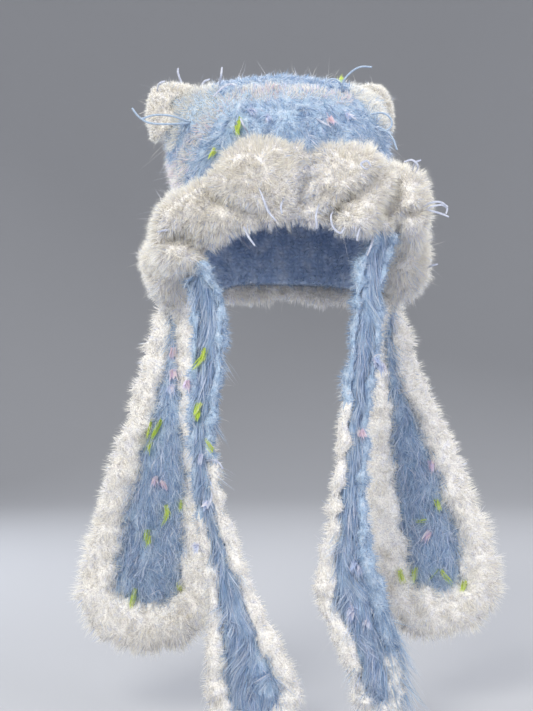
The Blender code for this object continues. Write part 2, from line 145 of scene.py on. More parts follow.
# Kinds of fur. Length and width are of one blade, in metres. Stand is how far a blade leans
# out of the cloth, lie how far it follows the combing, scatter how far it strays, and fan how
# far it leans away from the middle of its puff. Bend and droop are how far its tip curls and
# falls, clump how strongly tips draw together in a lock, per_lock and per_puff the blades in
# each lock and puff, and parts the number of parts along a blade.
BRIM_PILE = dict(length=0.0150, width=0.00050, stand=1.0, lie=0.30, scatter=0.34, fan=0.45,
                 bend=0.34, droop=0.18, clump=0.40, per_lock=26, per_puff=300, parts=2)
EDGE_PILE = dict(BRIM_PILE, length=0.0132, width=0.00048, lie=0.20, scatter=0.24, fan=0.75,
                 bend=0.24, droop=0.12, clump=0.22, per_puff=80)
BLUE_LASH = dict(length=0.0250, width=0.00052, stand=0.42, lie=0.70, scatter=0.85, fan=0.0,
                 bend=1.00, droop=0.25, clump=0.34, per_lock=11, per_puff=200, parts=3)
CROWN_LASH = dict(BLUE_LASH, length=0.0175, stand=0.46)
TIE_LASH = dict(BLUE_LASH, length=0.0300, stand=0.34, lie=1.30, scatter=0.45, bend=0.55,
                clump=0.50)
INNER_LASH = dict(BLUE_LASH, length=0.0130, stand=0.80, bend=0.50, parts=2)
STRAY_HAIR = dict(BLUE_LASH, length=0.0160, width=0.00028, stand=0.8, lie=0.4, scatter=0.9,
                  clump=0.0)
LOOSE_LASH = dict(BLUE_LASH, length=0.0360, width=0.00042, stand=0.35, lie=0.9, scatter=0.55,
                  bend=1.3, droop=0.5, clump=0.30)
FRINGE_HAIR = dict(STRAY_HAIR, length=0.0172, width=0.00034, stand=0.5, lie=1.0, scatter=0.6,
                   bend=0.7, droop=0.6)
FLECK_TUFT = dict(BLUE_LASH, length=0.0130, width=0.00110, stand=0.50, lie=1.0, scatter=0.40,
                  bend=0.45, clump=0.50, per_lock=12)
PUFF_TUFT = dict(FLECK_TUFT, length=0.0105, width=0.00190, scatter=1.1, clump=0.25)

# Loose yarn ends, ribbons and coloured flecks
YARN_SIDES = 8
YARN_RADIUS = 0.0011
YARN_LIFT = 0.012
RIBBON_LIFT = 0.014
RIBBON_HALF_WIDTH = 0.0012
# Shares of a ribbon's full width at its ends, of its length cut off its start, and of its
# width in thickness, and the power that keeps its middle full
RIBBON_END = 0.25
RIBBON_START = 0.12
RIBBON_THICKNESS = 0.18
RIBBON_POWER = 0.6
FLECK_BLADES = 24
FLECK_SPREAD = 0.0013
FLECK_LIFT = 0.0050
FLECK_SWAY = 0.45

# Colours, in sRGB from 0 to 255. Each ramp goes by a blade's own tint.
CREAM = ((252, 250, 241), (249, 246, 237), (243, 241, 235), (253, 252, 247), (243, 243, 248))
ICE = ((222, 230, 248), (234, 238, 250), (206, 220, 246), (244, 242, 250))
BLUE = ((170, 195, 222), (192, 211, 232), (212, 225, 240), (152, 180, 212), (229, 237, 247))
PINK = ((246, 226, 236), (250, 240, 242), (236, 226, 246))
LIME = ((234, 246, 140), (224, 240, 112), (242, 250, 176), (208, 232, 96))
PALETTES = dict(cream=CREAM, ice=ICE, blue=BLUE, pink=PINK, lime=LIME)
FULL = (1.0, 1.0, 1.0, 1.0)
GRAIN_SHADE = (214, 214, 218)
# Painted shade in the hollows between the crochet's loops
LOOP_HOLLOW_PAINTED_SHADE = (228, 230, 236)
# Painted shade at the roots of the white and the blue blades
WHITE_ROOT_PAINTED_SHADE = (246, 244, 246)
BLUE_ROOT_PAINTED_SHADE = (222, 230, 238)
# The felt's own colours under the blades, a little darker than the blades as painted shade in the
# gaps between them
WHITE_UNDERFUR_AND_GAP_SHADE = ((244, 240, 238), (250, 248, 244), (236, 236, 242))
BLUE_UNDERFUR_AND_GAP_SHADE = ((152, 178, 208), (178, 200, 224), (204, 218, 236))
WRONG_SIDE = ((156, 178, 214), (176, 196, 228), (200, 212, 234))
YARN_SHADES = ((142, 164, 194), (176, 194, 216))
SILK_SHADES = ((168, 176, 202), (200, 205, 220))


def linear(channel):
    """One sRGB channel from 0 to 255 as a linear value, by the sRGB curve."""
    share = channel / 255.0
    if share <= 0.04045:
        return share / 12.92
    return ((share + 0.055) / 1.055) ** 2.4


def colour(shade):
    """An sRGB shade as a linear colour."""
    return tuple(linear(channel) for channel in shade) + (1.0,)


def new_object(name, data):
    item = bpy.data.objects.new(name, data)
    bpy.context.collection.objects.link(item)
    return item


def riding_piece(name, mesh):
    """A piece that rides on the hat's one body."""
    piece = new_object(name, mesh)
    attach(piece, "root")
    return piece


def new_material(name, roughness, sheen=0.0):
    """A material and its Principled shader."""
    material = bpy.data.materials.new(name)
    material.use_nodes = True
    shader = material.node_tree.nodes["Principled BSDF"]
    shader.inputs["Roughness"].default_value = roughness
    shader.inputs["Sheen Weight"].default_value = sheen
    return material, shader


def add_ramp(tree, source, stops, blend="LINEAR"):
    """A colour ramp over a value, its stops given as (place, colour) pairs."""
    ramp = tree.nodes.new("ShaderNodeValToRGB")
    ramp.color_ramp.interpolation = blend
    elements = ramp.color_ramp.elements
    while len(elements) < len(stops):
        elements.new(0.5)
    for element, (place, shade) in zip(elements, stops):
        element.position = place
        element.color = shade
    tree.links.new(source, ramp.inputs["Fac"])
    return ramp.outputs["Color"]


def add_product(tree, first, second):
    """Two colours multiplied."""
    mix = tree.nodes.new("ShaderNodeMix")
    mix.data_type = "RGBA"
    mix.blend_type = "MULTIPLY"
    mix.inputs["Factor"].default_value = 1.0
    tree.links.new(first, mix.inputs["A"])
    tree.links.new(second, mix.inputs["B"])
    return mix.outputs["Result"]


def fur_material(name, root_painted_shade, roughness, through):
    """Fur coloured by its own map: tint runs across it, root to tip up it, with painted root
    shade.
    """
    material, shader = new_material(name, roughness, FUR_SHEEN)
    tree = material.node_tree
    place = tree.nodes.new("ShaderNodeUVMap")
    place.uv_map = "OFBake"
    split = tree.nodes.new("ShaderNodeSeparateXYZ")
    tree.links.new(place.outputs["UV"], split.inputs["Vector"])
    shades = [shade for palette in PALETTES.values() for shade in palette]
    stops = [(index / len(shades), colour(shade)) for index, shade in enumerate(shades)]
    tint = add_ramp(tree, split.outputs["X"], stops, "CONSTANT")
    # Painted shade: each blade darkens towards its root
    depth = add_ramp(tree, split.outputs["Y"],
                     [(0.0, colour(root_painted_shade)), (ROOT_PAINTED_SHADE_REACH, FULL)])
    coat = add_product(tree, tint, depth)
    tree.links.new(coat, shader.inputs["Base Color"])
    shader.inputs["Sheen Roughness"].default_value = FUR_SHEEN_ROUGHNESS
    glow = tree.nodes.new("ShaderNodeBsdfTranslucent")
    tree.links.new(coat, glow.inputs["Color"])
    mix = tree.nodes.new("ShaderNodeMixShader")
    mix.inputs["Fac"].default_value = through
    tree.links.new(shader.outputs["BSDF"], mix.inputs[1])
    tree.links.new(glow.outputs["BSDF"], mix.inputs[2])
    tree.links.new(mix.outputs["Shader"], tree.nodes["Material Output"].inputs["Surface"])
    return material


def add_noise(tree, place, scale, detail=2.0):
    """A noise from 0 to 1 over a place."""
    pattern = tree.nodes.new("ShaderNodeTexNoise")
    pattern.inputs["Scale"].default_value = scale
    pattern.inputs["Detail"].default_value = detail
    tree.links.new(place, pattern.inputs["Vector"])
    return pattern.outputs["Fac"]


def add_bump(tree, height, depth, shader):
    """Fine relief of a given depth in metres."""
    bump = tree.nodes.new("ShaderNodeBump")
    bump.inputs["Strength"].default_value = BUMP_STRENGTH
    bump.inputs["Distance"].default_value = depth
    tree.links.new(height, bump.inputs["Height"])
    tree.links.new(bump.outputs["Normal"], shader.inputs["Normal"])


def spread_stops(shades, spread):
    """Ramp stops for some shades, spread evenly."""
    low, reach = spread
    return [(low + reach * index / (len(shades) - 1), colour(shade))
            for index, shade in enumerate(shades)]


def underfur_material(name, shades):
    """The felted yarn under the blades: soft patches of a few shades, finely rough."""
    material, shader = new_material(name, UNDERFUR["roughness"], UNDERFUR["sheen"])
    tree = material.node_tree
    place = tree.nodes.new("ShaderNodeTexCoord").outputs["Object"]
    patches = add_noise(tree, place, UNDERFUR["patches"], UNDERFUR["patch_detail"])
    tint = add_ramp(tree, patches, spread_stops(shades, UNDERFUR["patch_spread"]))
    grain = add_ramp(tree, add_noise(tree, place, UNDERFUR["grain"]),
                     list(zip(UNDERFUR["grain_stops"], (colour(GRAIN_SHADE), FULL))))
    tree.links.new(add_product(tree, tint, grain), shader.inputs["Base Color"])
    bumps = add_noise(tree, place, UNDERFUR["bumps"])
    add_bump(tree, bumps, UNDERFUR["relief"], shader)
    return material


def knit_material(name, shades):
    """Crochet's wrong side: rows of loops across columns of stitches, in fuzzy yarn, painted shade
    in hollows.
    """
    material, shader = new_material(name, KNIT["roughness"], KNIT["sheen"])
    tree = material.node_tree
    place = tree.nodes.new("ShaderNodeTexCoord").outputs["Object"]
    loops = []
    for direction, pitch in (("X", KNIT["loop_width"]), ("Z", KNIT["loop_height"])):
        wave = tree.nodes.new("ShaderNodeTexWave")
        wave.bands_direction = direction
        wave.inputs["Scale"].default_value = WAVE_LENGTH / pitch
        wave.inputs["Distortion"].default_value = KNIT["distortion"]
        wave.inputs["Detail"].default_value = KNIT["detail"]
        wave.inputs["Detail Scale"].default_value = KNIT["detail_scale"]
        tree.links.new(place, wave.inputs["Vector"])
        loops.append(wave.outputs["Fac"])
    stitch = tree.nodes.new("ShaderNodeMath")
    stitch.operation = "MULTIPLY"
    tree.links.new(loops[0], stitch.inputs[0])
    tree.links.new(loops[1], stitch.inputs[1])
    tint = add_ramp(tree, add_noise(tree, place, KNIT["patches"]),
                    spread_stops(shades, KNIT["patch_spread"]))
    # Painted shade: the hollows between loops are darker
    painted_hollow_shade = add_ramp(tree, stitch.outputs["Value"],
                      list(zip(KNIT["painted_hollow_shade_stops"], (colour(LOOP_HOLLOW_PAINTED_SHADE), FULL))))
    tree.links.new(add_product(tree, tint, painted_hollow_shade), shader.inputs["Base Color"])
    height = tree.nodes.new("ShaderNodeMath")
    height.operation = "MULTIPLY_ADD"
    height.inputs[1].default_value = KNIT["fuzz_share"]
    tree.links.new(add_noise(tree, place, KNIT["fuzz"]), height.inputs[0])
    tree.links.new(stitch.outputs["Value"], height.inputs[2])
    add_bump(tree, height.outputs["Value"], KNIT["relief"], shader)
    return material


def make_camera():
    """The photograph's own view, level and along Y."""
    camera = new_object("camera", bpy.data.cameras.new("camera"))
    camera.data.sensor_fit = "VERTICAL"
    camera.data.sensor_height = SENSOR_HEIGHT
    camera.data.lens = SENSOR_HEIGHT * FOCAL_PIXELS / PHOTO_HEIGHT
    camera.location = CAMERA_PLACE
    camera.rotation_euler = (math.radians(90.0), 0.0, 0.0)
    bpy.context.scene.camera = camera


def pixel_ray(column, row):
    """Direction from the camera through a pixel of the photograph."""
    across = (column - PHOTO_WIDTH / 2.0) / FOCAL_PIXELS
    down = (row - PHOTO_HEIGHT / 2.0) / FOCAL_PIXELS
    return Vector((across, 1.0, -down)).normalized()


def make_light(name, place, aim, size, power, shade):
    light = new_object(name, bpy.data.lights.new(name, "AREA"))
    light.data.shape = "DISK"
    light.data.size = size
    light.data.energy = power
    light.data.color = colour(shade)[:3]
    light.location = place
    light.rotation_euler = (Vector(aim) - Vector(place)).to_track_quat("-Z", "Y").to_euler()


def make_studio():
    """A pale floor that curves up into a wall all round, soft lamps and a dim even sky."""
    floor = cad_box[0].z - FLOOR_DROP
    section = [(0.0, floor), (BOWL_RADIUS - BOWL_FILLET, floor)]
    for step in range(1, BOWL_FILLET_STEPS + 1):
        turn = math.radians(90.0) * step / BOWL_FILLET_STEPS
        section.append((BOWL_RADIUS - BOWL_FILLET + BOWL_FILLET * math.sin(turn),
                        floor + BOWL_FILLET * (1.0 - math.cos(turn))))
    section.append((BOWL_RADIUS, floor + BOWL_HEIGHT))
    mesh = bpy.data.meshes.new("studio_floor")
    form = bmesh.new()
    line = [form.verts.new((x, 0.0, z)) for x, z in section]
    edges = [form.edges.new(pair) for pair in zip(line, line[1:])]
    bmesh.ops.spin(form, geom=line + edges, axis=(0, 0, 1), cent=(0, 0, 0),
                   steps=BOWL_TURN_STEPS, angle=2.0 * math.pi, use_merge=True)
    bmesh.ops.remove_doubles(form, verts=form.verts, dist=SAME_PLACE)
    bmesh.ops.recalc_face_normals(form, faces=form.faces)
    bmesh.ops.reverse_faces(form, faces=form.faces)
    form.to_mesh(mesh)
    form.free()
    mesh.polygons.foreach_set("use_smooth", [True] * len(mesh.polygons))
    bowl = new_object("studio_floor", mesh)
    material, shader = new_material("studio_paint", PAINT_ROUGHNESS)
    shader.inputs["Base Color"].default_value = colour(PAINT)
    mesh.materials.append(material)

    for lamp in LAMPS:
        make_light(*lamp)
    world = bpy.data.worlds.new("studio_sky")
    bpy.context.scene.world = world
    world.use_nodes = True
    sky = world.node_tree.nodes["Background"]
    sky.inputs["Color"].default_value = colour(SKY)
    sky.inputs["Strength"].default_value = SKY_STRENGTH
    bpy.context.scene.view_settings.view_transform = "Standard"


def body_of_node(node, name, material, smoothing=0, finer=0):
    """The node's knitted body: its own mesh, smoothed that many times and rounded by that
    many levels."""
    mesh = bpy.data.meshes.new(name)
    form = bmesh.new()
    form.from_mesh(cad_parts[node].data)
    bmesh.ops.remove_doubles(form, verts=form.verts, dist=SAME_PLACE)
    form.to_mesh(mesh)
    form.free()
    mesh.materials.clear()
    mesh.materials.append(material)
    mesh.polygons.foreach_set("use_smooth", [True] * len(mesh.polygons))
    piece = new_object(name, mesh)
    if smoothing:
        calm = piece.modifiers.new("calm", "SMOOTH")
        calm.factor = 0.5
        calm.iterations = smoothing
    if finer:
        round_off = piece.modifiers.new("round_off", "SUBSURF")
        round_off.levels = round_off.render_levels = finer
    apply_modifiers(piece)
    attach(piece, "root")
    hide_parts(node)
    return piece


def apply_modifiers(piece):
    """Fix the modifiers into the mesh."""
    graph = bpy.context.evaluated_depsgraph_get()
    shaped = bpy.data.meshes.new_from_object(piece.evaluated_get(graph))
    piece.modifiers.clear()
    old = piece.data
    piece.data = shaped
    bpy.data.meshes.remove(old)
    shaped.name = piece.name


def tree_of(pieces):
    """One search tree over several bodies."""
    points, faces = [], []
    for piece in pieces:
        start = len(points)
        points += [vertex.co.copy() for vertex in piece.data.vertices]
        faces += [[start + index for index in face.vertices] for face in piece.data.polygons]
    return BVHTree.FromPolygons(points, faces)


def vertex_values(mesh, what):
    """The co or normal of every vertex, one to a row."""
    values = np.empty(len(mesh.vertices) * 3)
    mesh.vertices.foreach_get(what, values)
    return values.reshape(-1, 3)


def surface_points(piece, count, rng, keep=None):
    """Places and normals spread evenly over a body, where keep(place, normal) holds."""
    mesh = piece.data
    mesh.calc_loop_triangles()
    corners = np.empty(len(mesh.loop_triangles) * 3, dtype=np.int64)
    mesh.loop_triangles.foreach_get("vertices", corners)
    corners = corners.reshape(-1, 3)
    points = vertex_values(mesh, "co")
    normals = vertex_values(mesh, "normal")
    a, b, c = (points[corners[:, side]] for side in range(3))
    flat = np.cross(b - a, c - a)
    areas = np.linalg.norm(flat, axis=1) / 2.0
    if keep is not None:
        faces = zip((a + b + c) / 3.0, unit(flat))
        areas = areas * np.array([keep(Vector(place), Vector(normal)) for place, normal in faces])
    picked = rng.choice(len(areas), size=count, p=areas / areas.sum())
    u, v = rng.random(count), rng.random(count)
    over = u + v > 1.0
    u[over], v[over] = 1.0 - u[over], 1.0 - v[over]
    shares = np.stack((1.0 - u - v, u, v), axis=1)
    place = (points[corners[picked]] * shares[:, :, None]).sum(axis=1)
    normal = (normals[corners[picked]] * shares[:, :, None]).sum(axis=1)
    return place, unit(normal)


def flattened(vectors, normals):
    """The part of each vector that runs along the surface."""
    return vectors - normals * (vectors * normals).sum(axis=1)[:, None]


def unit(vectors):
    """Each vector at length 1."""
    return vectors / (np.linalg.norm(vectors, axis=1)[:, None] + TINY)


def point_tree(points):
    """A search tree over points, which are numbered in their order."""
    tree = KDTree(len(points))
    for number, point in enumerate(points):
        tree.insert(point, number)
    tree.balance()
    return tree


def lock_ends(places, per_lock, rng):
    """For each blade, the index of the blade whose lock it joins."""
    heads = rng.choice(len(places), size=max(1, len(places) // per_lock), replace=False)
    tree = point_tree(places[heads])
    return np.array([heads[tree.find(place)[1]] for place in places])


def smooth_field(places, scale, seed):
    """A gentle random direction at each place, which changes over the given distance."""
    offset = Vector([seed * step for step in DIRECTION_STEPS])
    return np.array([noise.noise_vector(Vector(place) / scale + offset) for place in places])


def smooth_value(places, scale, seed):
    """A gentle random value from about -1 to 1 at each place."""
    offset = Vector([seed * step for step in VALUE_STEPS])
    return np.array([noise.noise(Vector(place) / scale + offset) for place in places])


def grow_fur(name, places, normals, combing, tints, kind, material, rng, lengths=1.0):
    """One piece of fur: a tapered blade from every place, drawn together in locks. Lengths
    are shares of the kind's own length."""
    count = len(places)
    combing = flattened(combing, normals)
    stray = flattened(rng.normal(size=(count, 3)), normals)
    puff = lock_ends(places, kind["per_puff"], rng)
    away = places - places[puff]
    away /= np.sqrt((away ** 2).sum(axis=1).mean())
    lead = unit(normals * kind["stand"] + combing * kind["lie"]
                + stray * kind["scatter"] * LEAN_WEIGHT + away * kind["fan"] * LEAN_WEIGHT)
    curl = (rng.normal(size=(count, 3)) * kind["bend"] * CURL_WEIGHT
            + combing * kind["lie"] * CURL_WEIGHT)
    curl[:, 2] -= kind["droop"]
    into = (curl * normals).sum(axis=1).clip(None, 0.0)
    curl -= normals * into[:, None] * OUT_OF_CLOTH
    length = kind["length"] * rng.uniform(*LENGTH_SHARES, count)
    length *= 1.0 - PUFF_FALL * kind["fan"] * (away ** 2).sum(axis=1).clip(0.0, PUFF_FAR)
    length = length * lengths
    width = kind["width"] * rng.uniform(*WIDTH_SHARES, count)
    under = rng.random(count) < UNDERCOAT_SHARE
    length = np.where(under, length * UNDERCOAT_LENGTH, length)
    width = np.where(under, width * UNDERCOAT_WIDTH, width)
    head = lock_ends(places, kind["per_lock"], rng)
    roots = places - normals * ROOT_DEPTH
    side = unit(np.cross(lead, rng.normal(size=(count, 3))))
    parts = kind["parts"]
    rings = []
    for part in range(parts + 1):
        share = part / parts
        own = roots + length[:, None] * (lead * share + curl * 0.5 * share ** 2)
        lock = own[head]
        pull = kind["clump"] * share ** CLUMP_POWER
        middle = own + (lock - own) * pull
        if part == parts:
            rings.append(middle[:, None, :])
            continue
        half = (width * (1.0 - BLADE_TAPER * share))[:, None] * side / 2.0
        rings.append(np.stack((middle - half, middle + half), axis=1))
    points = np.concatenate(rings, axis=1)
    return fur_mesh(name, points, tints, parts, material)


def fur_mesh(name, points, tints, parts, material):
    """Mesh of blades from their points: parts - 1 quads and a triangle for each blade."""
    count, per_blade = points.shape[:2]
    corners, heights, starts = [], [], []
    for part in range(parts - 1):
        starts.append(len(corners))
        low = 2 * part
        corners += [low, low + 1, low + 3, low + 2]
        heights += [part / parts, part / parts, (part + 1) / parts, (part + 1) / parts]
    starts.append(len(corners))
    corners += [per_blade - 3, per_blade - 2, per_blade - 1]
    heights += [(parts - 1) / parts, (parts - 1) / parts, 1.0]
    first = np.arange(count)[:, None]
    loops = (first * per_blade + np.array(corners)).ravel()
    begins = (first * len(corners) + np.array(starts)).ravel()
    mesh = bpy.data.meshes.new(name)
    mesh.vertices.add(count * per_blade)
    mesh.vertices.foreach_set("co", points.ravel())
    mesh.loops.add(len(loops))
    mesh.loops.foreach_set("vertex_index", loops)
    mesh.polygons.add(len(begins))
    mesh.polygons.foreach_set("loop_start", begins)
    mesh.update(calc_edges=True)
    uv = mesh.uv_layers.new(name="OFBake")
    across = np.repeat(tints, len(corners))
    up = np.tile(np.array(heights), count)
    up = up * (1.0 - 2.0 * MAP_MARGIN) + MAP_MARGIN
    uv.data.foreach_set("uv", np.stack((across, up), axis=1).ravel())
    mesh.materials.append(material)
    return riding_piece(name, mesh)


def tint_of(palette, rng, count):
    """Random tints of one palette, as places across the fur's map."""
    names = list(PALETTES)
    sizes = [len(PALETTES[name]) for name in names]
    start = sum(sizes[:names.index(palette)])
    picks = start + rng.integers(0, len(PALETTES[palette]), count)
    return (picks + 0.5) / sum(sizes)


def spots(points, others):
    """Nearest distance from each place to any of the given points."""
    tree = point_tree(others)
    return np.array([tree.find(place)[2] for place in points])


def along(points, step=0.004):
    """Points close together along a line of straight parts."""
    line = []
    for first, second in zip(points, points[1:]):
        count = max(1, int((second - first).length / step))
        line += [first.lerp(second, share / count) for share in range(count)]
    return line + [points[-1]]


def from_photo(pixels, tree):
    """Places on a body that the photograph shows at these pixels."""
    places = []
    for column, row in pixels:
        place = tree.ray_cast(CAMERA_PLACE, pixel_ray(column, row))[0]
        if place is not None:
            places.append(place)
    return places


def photo_place(column, row, depth):
    """The place at a given depth, along Y, that the photograph shows at this pixel."""
    ray = pixel_ray(column, row)
    return CAMERA_PLACE + ray * ((depth - CAMERA_PLACE.y) / ray.y)


def clear_of(tree, reach):
    """A test that nothing of the given bodies lies within reach in front of the surface."""
    def keep(place, normal):
        return tree.ray_cast(place + normal * LOOK_START, normal, reach)[0] is None
    return keep


def push_out(piece, distances):
    """Move a body's surface out along its normals, by distances(places) in metres."""
    mesh = piece.data
    points = vertex_values(mesh, "co")
    points += vertex_values(mesh, "normal") * distances(points)[:, None]
    mesh.vertices.foreach_set("co", points.ravel())
    mesh.update()


def press_creases(piece, creases):
    """Press folds into a body along lines of places: (line, depth, width) for each."""
    def distances(points):
        push = np.zeros(len(points))
        for line, depth, width in creases:
            share = np.exp(-(spots(points, along(line)) / width) ** 2)
            push = np.maximum(push, depth * share)
        return -push
    push_out(piece, distances)


def swell(piece, depth, depth_below):
    """Grow a body all round, by one depth at its top and another at its bottom."""
    def distances(points):
        height = points[:, 2]
        fall = (height.max() - height) / (height.max() - height.min())
        return depth + (depth_below - depth) * fall ** 2
    push_out(piece, distances)


def roughen(piece, scale, depth, seed):
    """Raise soft bumps of a given size on a body."""
    push_out(piece, lambda points: depth * smooth_value(points, scale, seed))


def smooth_line(points, parts=8):
    """Points on a Catmull-Rom curve through the given ones."""
    padded = [points[0] * 2.0 - points[1]] + list(points) + [points[-1] * 2.0 - points[-2]]
    line = []
    for a, b, c, d in zip(padded, padded[1:], padded[2:], padded[3:]):
        for step in range(parts):
            t = step / parts
            line.append(0.5 * (2.0 * b + (c - a) * t + (2.0 * a - 5.0 * b + 4.0 * c - d) * t ** 2
                               + (3.0 * b - a - 3.0 * c + d) * t ** 3))
    return line + [points[-1]]


def photo_line(pixels, tree, lift):
    """A line through pixels of the photograph, from a root on a body at its last pixel. It
    leaves the root towards the camera and stays that far in front of it."""
    column, row = pixels[-1]
    root = tree.ray_cast(CAMERA_PLACE, pixel_ray(column, row))[0]
    if root is None:
        root = tree.find_nearest(photo_place(column, row, 0.0))[0]
    line = [photo_place(column, row, root.y - lift) for column, row in pixels[:-1]]
    return smooth_line(line + [root])


def sweep(form, line, section):
    """A skin along a line, with section(share) giving half width and half thickness there."""
    side = Vector((0.0, -1.0, 0.0))
    rings = []
    for index, place in enumerate(line):
        ahead = (line[min(index + 1, len(line) - 1)] - line[max(index - 1, 0)]).normalized()
        side = (side - ahead * side.dot(ahead)).normalized()
        across = ahead.cross(side)
        half, thick = section(index / (len(line) - 1))
        ring = []
        for corner in range(YARN_SIDES):
            angle = 2.0 * math.pi * corner / YARN_SIDES
            ring.append(form.verts.new(place + across * half * math.cos(angle)
                                       + side * thick * math.sin(angle)))
        rings.append(ring)
    for below, above in zip(rings, rings[1:]):
        for corner in range(YARN_SIDES):
            after = (corner + 1) % YARN_SIDES
            form.faces.new((below[corner], below[after], above[after], above[corner]))
    form.faces.new(reversed(rings[0]))
    form.faces.new(rings[-1])


def swept_piece(name, lines, section, material):
    """One piece of several yarn or ribbon ends."""
    form = bmesh.new()
    for line in lines:
        sweep(form, line, section)
    bmesh.ops.recalc_face_normals(form, faces=form.faces)
    mesh = bpy.data.meshes.new(name)
    form.to_mesh(mesh)
    form.free()
    mesh.polygons.foreach_set("use_smooth", [True] * len(mesh.polygons))
    mesh.materials.append(material)
    return riding_piece(name, mesh)


def yarn_section(share):
    """A round yarn, equally thick all along."""
    return YARN_RADIUS, YARN_RADIUS


def feather_section(share):
    """A flat ribbon, widest before its middle, with narrow ends."""
    turn = math.pi * min(1.0, RIBBON_START + (1.0 - RIBBON_START) * share)
    fullness = RIBBON_END + (1.0 - RIBBON_END) * math.sin(turn) ** RIBBON_POWER
    return RIBBON_HALF_WIDTH * fullness, RIBBON_HALF_WIDTH * RIBBON_THICKNESS


def yarn_material(name, shades, roughness):
    """Smooth yarn with fine plies along it."""
    material, shader = new_material(name, roughness, YARN["sheen"])
    tree = material.node_tree
    place = tree.nodes.new("ShaderNodeTexCoord").outputs["Object"]
    plies = add_ramp(tree, add_noise(tree, place, YARN["plies"]),
                     list(zip(YARN["ply_stops"], map(colour, shades))))
    tree.links.new(plies, shader.inputs["Base Color"])
    add_bump(tree, add_noise(tree, place, YARN["bumps"]), YARN["relief"], shader)
    return material


def grow_flecks(name, flecks, kind, rng):
    """Small coloured tufts: (palette, place, normal) for each, set into the pile."""
    rows = []
    for palette, place, normal in flecks:
        count = int(rng.integers(FLECK_BLADES // 2, FLECK_BLADES + 1))
        spread = rng.normal(size=(count, 3)) * FLECK_SPREAD
        hang = np.array((rng.normal() * FLECK_SWAY, 0.0, -1.0))
        rows.append((np.array(place + normal * FLECK_LIFT) + spread,
                     np.tile(np.array(normal), (count, 1)), np.tile(hang, (count, 1)),
                     tint_of(palette, rng, count)))
    places, normals, combing, tints = (np.concatenate(column) for column in zip(*rows))
    grow_fur(name, places, normals, combing, tints, kind, white_fur, rng)


def middle_line(panel, heights, levels=24):
    """The middle of a hanging panel from side to side, at each of the given heights."""
    points = vertex_values(panel.data, "co")
    marks = np.linspace(points[:, 2].min(), points[:, 2].max(), levels)
    reach = marks[1] - marks[0]
    middles = []
    for mark in marks:
        beside = points[np.abs(points[:, 2] - mark) <= reach, 0]
        middles.append((beside.min() + beside.max()) / 2.0)
    return np.interp(heights, marks, middles)


def white_tints(count, rng, icy):
    """Random cream tints, with this share of ice blue."""
    tints = tint_of("cream", rng, count)
    return np.where(rng.random(count) < icy, tint_of("ice", rng, count), tints)


make_camera()
make_studio()

# Without a seed of its own, noise_vector would start from the clock
noise.seed_set(SEED)

# Flaps and ties. Swell is how far the edging grows at its top and bottom, pile the length of
# its blades at the top and what they gain at the bottom, as shares, width the width of the
# flat cloth, and filled the share of the flat size that the cut cloth fills.
STRIPS = ("flap_left", "flap_right", "tie_left", "tie_right")
FLAP = dict(swell=(0.0040, 0.0086), panel_blades=8600, edge_blades=22000, lash=BLUE_LASH,
            pile=(1.05, 0.35), width=0.084, filled=0.66)
TIE = dict(swell=(0.0010, 0.0010), panel_blades=6300, edge_blades=14500, lash=TIE_LASH,
           pile=(0.75, 0.10), width=0.058, filled=0.46)
# Soft bumps of the edging and the ruffle, as (distance, depth, seed)
EDGING_BUMPS = (0.0130, 0.0085, 31.0)
RUFFLE_BUMPS = (0.014, 0.006, 37.0)


def strip_kind(name):
    return FLAP if name.startswith("flap") else TIE


# Knitted bodies
white_base = underfur_material("white_underfur", WHITE_UNDERFUR_AND_GAP_SHADE)
blue_base = underfur_material("blue_underfur", BLUE_UNDERFUR_AND_GAP_SHADE)
wrong_side = knit_material("crochet_wrong_side", WRONG_SIDE)
crown = body_of_node("crown_bag", "crown_knit", blue_base, smoothing=2)
brim = body_of_node("brim_ruffle", "brim_knit", white_base, smoothing=2, finer=1)
ears = [body_of_node(f"ear_{side}", f"ear_{side}_knit", white_base, smoothing=1)
        for side in ("left", "right")]
panels = {name: body_of_node(f"{name}_panel", f"{name}_cloth", blue_base)
          for name in STRIPS}
trims = {name: body_of_node(f"{name}_trim", f"{name}_edging", white_base,
                            smoothing=1, finer=1)
         for name in STRIPS}
for name in STRIPS:
    swell(trims[name], *strip_kind(name)["swell"])
    roughen(trims[name], *EDGING_BUMPS)

white_fur = fur_material("white_fur_blades", WHITE_ROOT_PAINTED_SHADE, roughness=0.62, through=0.50)
blue_lash = fur_material("blue_lash_blades", BLUE_ROOT_PAINTED_SHADE, roughness=0.45, through=0.44)

# Folds of the ruffle that show in the photograph, as (pixels, depth, width)
FRONT_FOLDS = (
    (((380, 177), (366, 189), (352, 198), (340, 207), (328, 216), (318, 224)), 0.026, 0.009),
    (((318, 138), (313, 158), (307, 180), (303, 202), (300, 224)), 0.010, 0.010),
    (((397, 172), (399, 188), (395, 203), (388, 214)), 0.012, 0.008),
    (((436, 226), (414, 215), (399, 222), (388, 234), (374, 242)), 0.020, 0.008),
    (((196, 186), (214, 200), (236, 208), (258, 218), (268, 226)), 0.011, 0.010),
    (((140, 238), (165, 237), (186, 242), (203, 251), (214, 262)), 0.020, 0.008),
)
# The fold between the two middle lobes
VALLEY = 1
unfolded_tree = tree_of([brim])
folds = [(from_photo(pixels, unfolded_tree), depth, width) for pixels, depth, width in FRONT_FOLDS]
press_creases(brim, folds)
roughen(brim, *RUFFLE_BUMPS)

crown_tree = tree_of([crown])
ear_tree = tree_of(ears)
brim_tree = tree_of([brim])

